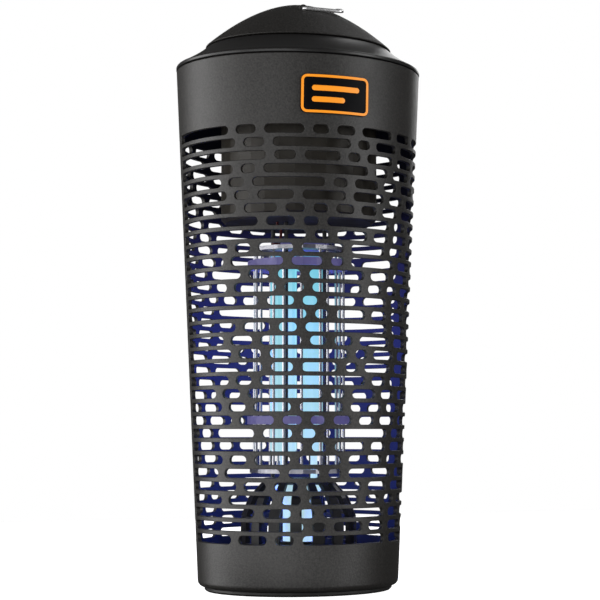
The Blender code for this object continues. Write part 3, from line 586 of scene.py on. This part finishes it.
def curve_through(start, control, end, steps):
    """Points on a curve pulled towards one control point."""
    out = []
    for i in range(steps + 1):
        t = i / steps
        out.append(tuple((1 - t) ** 2 * a + 2 * t * (1 - t) * b + t * t * c
                         for a, b, c in zip(start, control, end)))
    return out


# ---------------------------------------------------------------- shell

def half_width(z):
    return RIM_HALF_WIDTH - (RIM_Z - z) * TAPER


def across(phi, z):
    """Length along the shell's outside for each radian about its axis."""
    return half_width(z) * hypot(sin(phi), OVAL * cos(phi))


def shell_normal(phi):
    return Vector((cos(phi), sin(phi) / OVAL, -TAPER)).normalized()


def shell_point(phi, z, sunk):
    half = half_width(z)
    return Vector((half * cos(phi), OVAL * half * sin(phi), z)) - sunk * shell_normal(phi)


def slot_rows():
    """Each row's number and the height of its slots' middle."""
    return [(row, FIRST_SLOT_Z + row * SLOT_PITCH + SLOT_HEIGHT / 2) for row in range(SLOT_ROWS)]


def row_slots(row, z):
    """The slots of one row, each as its first and last angle. The back repeats the front."""
    half = half_width(z)
    bars = [-acos(x * MM / half) for x in BAR_ROWS[row % len(BAR_ROWS)]]
    stretches = [(FRONT_START, FRONT_END, bars), (BACK_START, BACK_END, [b + pi for b in bars])]
    slots = []
    for start, end, middles in stretches:
        at = start
        for middle in middles:
            room = SLOT_BAR / 2 / across(middle, z)
            if middle - room > at and middle + room < end:
                slots.append((at, middle - room))
                at = middle + room
        slots.append((at, end))
    return [(a, b) for a, b in slots if (b - a) * across((a + b) / 2, z) > SHORTEST_SLOT]


def slot_outline(first, last, middle_z, grow):
    """Round-ended outline, anticlockwise seen from outside: (angle, z, direction outwards)."""
    radius = SLOT_HEIGHT / 2
    left = first + radius / across(first, middle_z)
    right = last - radius / across(last, middle_z)
    runs = max(1, round((right - left) / SLOT_STEP))

    def round_end(centre, turn):
        directions = [turn + pi * i / SLOT_ARC_STEPS for i in range(SLOT_ARC_STEPS + 1)]
        return [(centre + (radius + grow) * cos(a) / across(centre, middle_z),
                 middle_z + (radius + grow) * sin(a), a) for a in directions]

    def straight(start, end, z, direction):
        return [(start + (end - start) * i / runs, z, direction) for i in range(1, runs)]

    return (round_end(left, pi / 2) + straight(left, right, middle_z - radius - grow, -pi / 2)
            + round_end(right, -pi / 2) + straight(right, left, middle_z + radius + grow, pi / 2))


def all_slots():
    """Slot outlines on the outer face, the same points in the throat, and each slot's run of them."""
    outline = []
    throat = []
    loops = []
    for row, z in slot_rows():
        for first, last in row_slots(row, z):
            start = len(outline)
            outline += slot_outline(first, last, z, SLOT_EDGE)
            throat += slot_outline(first, last, z, 0.0)
            loops.append(range(start, len(outline)))
    return outline, throat, loops


def wall_grid():
    """Points that carry the plain bands and the two ribs, as (angle, z, no direction)."""
    low_z = SHELL_BOTTOM_Z + BOTTOM_ROUND
    high_z = RIM_Z - RIM_EDGE
    top_slot = FIRST_SLOT_Z + (SLOT_ROWS - 1) * SLOT_PITCH + SLOT_HEIGHT
    heights = [low_z + (FIRST_SLOT_Z - low_z) * t for t in (0.0, 0.33, 0.66)]
    heights += [top_slot + (high_z - top_slot) * t for t in (0.12, 0.34, 0.56, 0.78, 1.0)]
    columns = round(2 * pi / SLOT_STEP)
    grid = [(SEAM + 2 * pi * i / columns, z) for i in range(columns + 1) for z in heights]
    for _, z in slot_rows():
        grid += [(FRONT_START + (SEAM - FRONT_START) * t, z) for t in (0.3, 0.65, 1.0)]
        grid += [(SEAM + 2 * pi, z)]
        grid += [(FRONT_END + (BACK_START - FRONT_END) * t, z) for t in (0.2, 0.4, 0.6, 0.8)]
    return [(phi, z, None) for phi, z in grid]


def wall_triangles(outline, loops):
    """Triangles over the unrolled wall, without those that would fill a slot."""
    flat = [Vector((phi * RIM_HALF_WIDTH, z)) for phi, z, _ in outline]
    edges = [(loop[i], loop[(i + 1) % len(loop)]) for loop in loops for i in range(len(loop))]
    merge_distance = 1e-7
    _, _, made_faces, sources, _, _ = delaunay_2d_cdt(flat, edges, [], 0, merge_distance)
    owner = {i: number for number, loop in enumerate(loops) for i in loop}
    triangles = []
    for face in made_faces:
        corners = [sources[i][0] for i in face]
        owners = {owner.get(c) for c in corners}
        if len(owners) > 1 or None in owners:
            triangles.append(corners)
    return triangles


def make_shell(finish, inside):
    """The slotted wall: its outer and inner face, and each slot's soft edge and sides."""
    slots, throats, loops = all_slots()
    grid = wall_grid()
    outline = slots + grid
    throat = throats + grid
    triangles = wall_triangles(outline, loops)
    points = []
    normals = []

    def put(phi, z, sunk, normal):
        points.append(tuple(shell_point(phi, z, sunk)))
        normals.append(tuple(normal))
        return len(points) - 1

    outer = [put(phi, z, 0.0, shell_normal(phi)) for phi, z, _ in outline]
    inner = [put(phi, z, WALL, -shell_normal(phi)) for phi, z, _ in throat]
    faces = [tuple(outer[c] for c in corners) for corners in triangles]
    faces += [tuple(inner[c] for c in reversed(corners)) for corners in triangles]
    inner_faces = range(len(triangles), len(faces))
    for loop in loops:
        rim = [outer[i] for i in loop]
        mouth = []
        depth = []
        for i in loop:
            phi, z, turn = throat[i]
            sideways = Vector((-sin(phi), OVAL * cos(phi), 0)).normalized()
            facing = -(cos(turn) * sideways + sin(turn) * Vector((0, 0, 1)))
            mouth.append(put(phi, z, SLOT_EDGE, facing))
            depth.append(put(phi, z, WALL, facing))
        for k in range(len(loop)):
            n = (k + 1) % len(loop)
            faces.append((rim[k], rim[n], mouth[n], mouth[k]))
            faces.append((mouth[k], mouth[n], depth[n], depth[k]))
    shell = add_piece("lantern_shell", points, faces, finish, normals=normals,
                      second=inside, second_faces=inner_faces)
    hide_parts("grille_shell")


def shell_foot():
    """The shell's bottom edge, rounded and turned in."""
    corner = half_width(SHELL_BOTTOM_Z + BOTTOM_ROUND) - BOTTOM_ROUND
    middle = (corner, SHELL_BOTTOM_Z + BOTTOM_ROUND)
    turned_in = half_width(SHELL_BOTTOM_Z) - BOTTOM_LIP
    profile = arc(middle, BOTTOM_ROUND - WALL, 0, -90, 6)
    profile += [(turned_in, SHELL_BOTTOM_Z + WALL), (turned_in, SHELL_BOTTOM_Z)]
    profile += arc(middle, BOTTOM_ROUND, -90, 0, 12)
    return turned(profile, squash=OVAL)


def shell_rim():
    """The top of the wall, closed, with a softened outer edge."""
    low = RIM_Z - RIM_EDGE
    top = half_width(RIM_Z)
    soft = 0.15 * MM
    profile = [(half_width(low), low), (top - soft, RIM_Z - soft), (top - RIM_EDGE, RIM_Z),
               (top - WALL, RIM_Z), (half_width(low) - WALL, low)]
    return turned(profile, squash=OVAL)


def make_shell_edges(finish):
    points, faces = joined([shell_foot(), shell_rim()])
    add_piece("shell_edges", points, faces, finish)


# ---------------------------------------------------------------- cover

def make_shoulder(finish):
    """A rolled lip, then a cove that sweeps in and up under the dome's edge."""
    skirt = half_width(RIM_Z) - WALL - SKIRT_PLAY
    lip = LIP_HALF_WIDTH
    crease_z = DOME_FOOT_Z - CREASE_DEPTH
    profile = [(skirt, LIP_Z - SKIRT_DEPTH), (skirt, LIP_Z)]
    profile += arc((lip - LIP_UNDER_ROUND, LIP_Z + LIP_UNDER_ROUND), LIP_UNDER_ROUND, -90, 0, 3)
    profile += arc((lip - LIP_TOP_ROUND, LIP_Z + LIP_TOP_RISE), LIP_TOP_ROUND, 0, 60, 6)
    profile += curve_through((lip - COVE_IN, LIP_Z + COVE_UP), COVE_PULL,
                             (DOME_HALF_WIDTH - COVE_TUCK, crease_z), 22)
    profile.append((SHOULDER_HOLE, crease_z))
    points, faces = turned(profile, squash=OVAL)
    shoulder = add_piece("shoulder_cover", points, faces, finish)
    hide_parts("shoulder_ring")


def lug(side):
    """A round boss on the dome with a soft edge and a blind hole for the bail's pin."""
    soft = LUG_EDGE
    hole = BAIL_WIRE + LUG_HOLE_PLAY
    hole_end = LUG_ROOT_Y + LUG_HOLE_END
    profile = [(LUG_RADIUS, LUG_ROOT_Y), (LUG_RADIUS, LUG_FACE_Y - soft)]
    profile += arc((LUG_RADIUS - soft, LUG_FACE_Y - soft), soft, 0, 90, 4)[1:]
    profile += [(hole + LUG_HOLE_EDGE, LUG_FACE_Y), (hole, LUG_FACE_Y - LUG_HOLE_EDGE)]
    profile += [(hole, hole_end), (0, hole_end)]
    points, faces = turned(profile, 32)
    outwards = Matrix.Rotation(radians(-90 * side), 4, 'X')
    return moved(points, Matrix.Translation((BAIL_PIVOT_X, 0, BAIL_PIVOT_Z)) @ outwards), faces


def dome_z(radius):
    return CROWN_Z - (CROWN_Z - DOME_FOOT_Z) * (radius / DOME_HALF_WIDTH) ** DOME_POWER


def make_dome(finish):
    """The dome ends in a soft edge that stands out over the cove."""
    low = DOME_FOOT_Z - DOME_EDGE
    edge_middle = (DOME_HALF_WIDTH - DOME_EDGE, low + DOME_EDGE)
    profile = [(DOME_HALF_WIDTH - DOME_FOOT_WIDTH, low), (DOME_HALF_WIDTH - DOME_EDGE, low)]
    profile += arc(edge_middle, DOME_EDGE, -90, 20, 5)[1:]
    steps = 26
    start = 1 - DOME_SWELL / DOME_HALF_WIDTH
    for i in range(steps, 0, -1):
        radius = DOME_HALF_WIDTH * start * i / steps
        profile.append((radius, dome_z(radius) + DOME_SWELL * (i / steps)))
    profile.append((0, CROWN_Z))
    points, faces = joined([turned(profile, squash=OVAL), lug(-1), lug(1)])
    dome = add_piece("dome_cover", points, faces, finish, sharp=60)
    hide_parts("dome_cap")


def bail_half():
    """Half of the bail laid flat, as (x, y) from its pin's end to its far side."""
    bend = BAIL_BEND
    span = BAIL_HALF_SPAN
    quarter = [radians(90) * i / 8 for i in range(1, 9)]
    half = [(0, PIN_INNER_Y), (0, span - PIN_BEND)]
    half += [(PIN_BEND * (1 - cos(t)), span - PIN_BEND * (1 - sin(t))) for t in quarter]
    half.append((BAIL_LENGTH - bend, span))
    half += [(BAIL_LENGTH - bend + bend * sin(t), span - bend + bend * cos(t)) for t in quarter]
    half += [(BAIL_LENGTH, (span - bend) * (1 - i / 9)) for i in range(1, 9)]
    return half


def make_bail(finish):
    """A wire U whose pins turn in to the lugs. Its far side arches over the dome."""
    half = bail_half()
    flat = [(x, -y) for x, y in half] + [(BAIL_LENGTH, 0)] + [(x, y) for x, y in reversed(half)]
    route = []
    for x, y in flat:
        on_far_side = x > BAIL_LENGTH - BAIL_BEND
        arch = BAIL_BOW * (1 - (y / BAIL_HALF_SPAN) ** 2) if on_far_side else 0
        route.append((BAIL_PIVOT_X + x, y, BAIL_PIVOT_Z + arch))
    bail = wire("bail_wire", route, BAIL_WIRE, finish, "bail")
    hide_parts("hanging_bail")


# ---------------------------------------------------------------- badge

def badge_point(x, z, stand_off):
    half = half_width(BADGE_Z + z) + stand_off / OVAL
    return (x, -OVAL * sqrt(half * half - x * x), BADGE_Z + z)


def rounded_outline(width, height, corner, per_corner=6, per_side=10):
    """Outline of a rounded rectangle, anticlockwise, with points along its long sides."""
    x, z = width / 2 - corner, height / 2 - corner
    out = []
    for turn, cx, cz in ((0, x, z), (90, -x, z), (180, -x, -z), (270, x, -z)):
        out += arc((cx, cz), corner, turn, turn + 90, per_corner)
        if turn in (0, 180):
            side = 1 if turn == 0 else -1
            out += [(side * (x - 2 * x * i / per_side), side * (z + corner)) for i in range(1, per_side)]
    return out


def ring_faces(rings, count):
    """Faces between rings of points that lie one after another in a list."""
    return [(k * count + i, k * count + (i + 1) % count, (k + 1) * count + (i + 1) % count,
             (k + 1) * count + i) for k in range(rings - 1) for i in range(count)]


def plate(width, height, corner, low, high, middle=(0, 0)):
    """A rounded plate that follows the shell, from one stand-off to another."""
    outline = rounded_outline(width, height, corner)
    count = len(outline)
    edge = PRINT_THICK
    rings = [(1.0, low), (1.0, high - edge), (1.0 - 2 * edge / height, high)]
    rings += [(t, high) for t in (0.8, 0.6, 0.4, 0.2)]
    points = []
    for scale, stand_off in rings:
        points += [badge_point(middle[0] + x * scale, middle[1] + z * scale, stand_off)
                   for x, z in outline]
    points.append(badge_point(*middle, high))
    faces = ring_faces(len(rings), count)
    last = (len(rings) - 1) * count
    faces += [(last + i, last + (i + 1) % count, len(points) - 1) for i in range(count)]
    return points, faces


def frame_band(width, height, corner, band, low, high):
    """A rounded frame that follows the shell."""
    outside = rounded_outline(width, height, corner)
    inside = rounded_outline(width - 2 * band, height - 2 * band, corner - band)
    points = []
    for outline, stand_off in ((outside, low), (outside, high), (inside, high), (inside, low)):
        points += [badge_point(x, z, stand_off) for x, z in outline]
    return points, ring_faces(4, len(outside))


def make_badge(dark, orange):
    """A near-black plate with a printed border and two plain stripes in place of any wording."""
    face = GAP + BADGE_THICK
    field = face - PRINT_THICK
    sunk = field - PRINT_SUNK
    points, faces = plate(BADGE_WIDTH, BADGE_HEIGHT, BADGE_CORNER, GAP, field)
    badge = add_piece("badge_field", points, faces, dark)
    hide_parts("badge_plate")
    points, faces = frame_band(BADGE_WIDTH - 2 * BORDER_INSET, BADGE_HEIGHT - 2 * BORDER_INSET,
                               BADGE_CORNER - BORDER_INSET, BORDER_WIDTH, sunk, face)
    add_piece("badge_border", points, faces, orange)
    shift = (SHORT_STRIPE - LONG_STRIPE) / 2    # both stripes start at the same place on the left
    upper = plate(LONG_STRIPE, STRIPE_HEIGHT, STRIPE_CORNER, sunk, face, (0, STRIPE_RISE))
    lower = plate(SHORT_STRIPE, STRIPE_HEIGHT, STRIPE_CORNER, sunk, face, (shift, -STRIPE_RISE))
    points, faces = joined([upper, lower])
    add_piece("badge_bars", points, faces, orange)


# ---------------------------------------------------------------- stage, light, camera

def plain_background():
    """White to the camera, and dimmer where it lights the lantern."""
    world = bpy.data.worlds.new("studio")
    bpy.context.scene.world = world
    world.use_nodes = True
    tree = world.node_tree
    seen = tree.nodes["Background"]
    seen.inputs["Color"].default_value = (1, 1, 1, 1)
    seen.inputs["Strength"].default_value = 1.0
    fill = tree.nodes.new("ShaderNodeBackground")
    fill.inputs["Color"].default_value = (1.0, 0.99, 0.97, 1)
    fill.inputs["Strength"].default_value = WORLD_FILL
    path = tree.nodes.new("ShaderNodeLightPath")
    mix = tree.nodes.new("ShaderNodeMixShader")
    tree.links.new(path.outputs["Is Camera Ray"], mix.inputs["Fac"])
    tree.links.new(fill.outputs["Background"], mix.inputs[1])
    tree.links.new(seen.outputs["Background"], mix.inputs[2])
    tree.links.new(mix.outputs["Shader"], tree.nodes["World Output"].inputs["Surface"])


def make_floor():
    """A white floor that reflections and bounced light leave out."""
    reach = 0.8
    mesh = bpy.data.meshes.new("floor")
    mesh.from_pydata([(-reach, -reach, 0), (reach, -reach, 0), (reach, reach, 0), (-reach, reach, 0)],
                     [], [(0, 1, 2, 3)])
    mesh.materials.append(floor_white())
    floor = bpy.data.objects.new("floor", mesh)
    bpy.context.scene.collection.objects.link(floor)
    floor.visible_diffuse = False
    floor.visible_glossy = False


def panel(name, azimuth, height, distance, size, power, aim=LAMP_MIDDLE):
    """A soft panel. Azimuth is in degrees to the right of the camera, seen from above."""
    angle = CAMERA_TURN + radians(azimuth)
    light = bpy.data.lights.new(name, 'AREA')
    light.shape = 'RECTANGLE'
    light.size, light.size_y = size
    light.energy = power
    made = bpy.data.objects.new(name, light)
    place = Vector((sin(angle) * distance, -cos(angle) * distance, height))
    made.location = place
    made.rotation_euler = (Vector(aim) - place).to_track_quat('-Z', 'Y').to_euler()
    made.visible_camera = False
    bpy.context.scene.collection.objects.link(made)


def make_lights():
    """Azimuth in degrees, height, distance and size in metres, power in watts."""
    panel("left_panel", -88, 0.28, 1.3, (0.9, 1.3), 14)
    panel("left_front_panel", -52, 0.25, 1.5, (0.7, 1.2), 6.0)
    panel("right_panel", 64, 0.30, 1.3, (0.5, 1.2), 7)
    panel("front_panel", -10, 0.18, 1.7, (1.2, 1.2), 7.5)
    panel("right_rim", 150, 0.66, 1.3, (0.3, 0.5), 1.1)
    panel("cover_panel", 118, 1.16, 0.68, (0.6, 0.45), 2.1, aim=COVER_MIDDLE)
    panel("backdrop_panel", 168, 0.86, 1.4, (0.9, 0.5), 3.5, aim=COVER_MIDDLE)
    panel("floor_bounce", -14, 0.004, 0.42, (0.6, 0.5), 1.1, aim=(-0.22, -0.35, 1.0))


def inner_glow():
    """The lamp's ultraviolet side: small deep-blue lights beside its legs."""
    for number, (x, y, z) in enumerate(GLOW_PLACES):
        light = bpy.data.lights.new(f"glow_{number}", 'POINT')
        light.energy = GLOW_POWER
        light.color = (0.05, 0.11, 1.0)
        light.shadow_soft_size = GLOW_SIZE
        made = bpy.data.objects.new(light.name, light)
        made.location = (x * MM, y * MM, z * MM)
        made.visible_camera = False
        made.visible_glossy = False
        bpy.context.scene.collection.objects.link(made)


def make_camera():
    data = bpy.data.cameras.new("camera")
    data.lens = LENS
    data.sensor_width = 36.0
    camera = bpy.data.objects.new("camera", data)
    right = Vector((cos(CAMERA_TURN), sin(CAMERA_TURN), 0))
    away = Vector((sin(CAMERA_TURN), -cos(CAMERA_TURN), 0))
    camera.location = CAMERA_REACH * away + CAMERA_ASIDE * right + Vector((0, 0, CAMERA_HEIGHT))
    camera.rotation_euler = Euler((radians(90) + CAMERA_TILT, 0, CAMERA_TURN))
    bpy.context.scene.collection.objects.link(camera)
    bpy.context.scene.camera = camera


def main():
    finishes = make_materials()
    dress_nodes(finishes)
    make_shell(finishes["shell_plastic"], shell_inside())
    make_shell_edges(finishes["shell_plastic"])
    make_shoulder(shoulder_satin())
    make_dome(finishes["cover_plastic"])
    make_bail(finishes["chrome_wire"])
    make_badge(finishes["badge_face"], badge_orange())
    plain_background()
    make_floor()
    make_lights()
    inner_glow()
    make_camera()
    bpy.context.scene.view_settings.view_transform = 'Standard'


main()
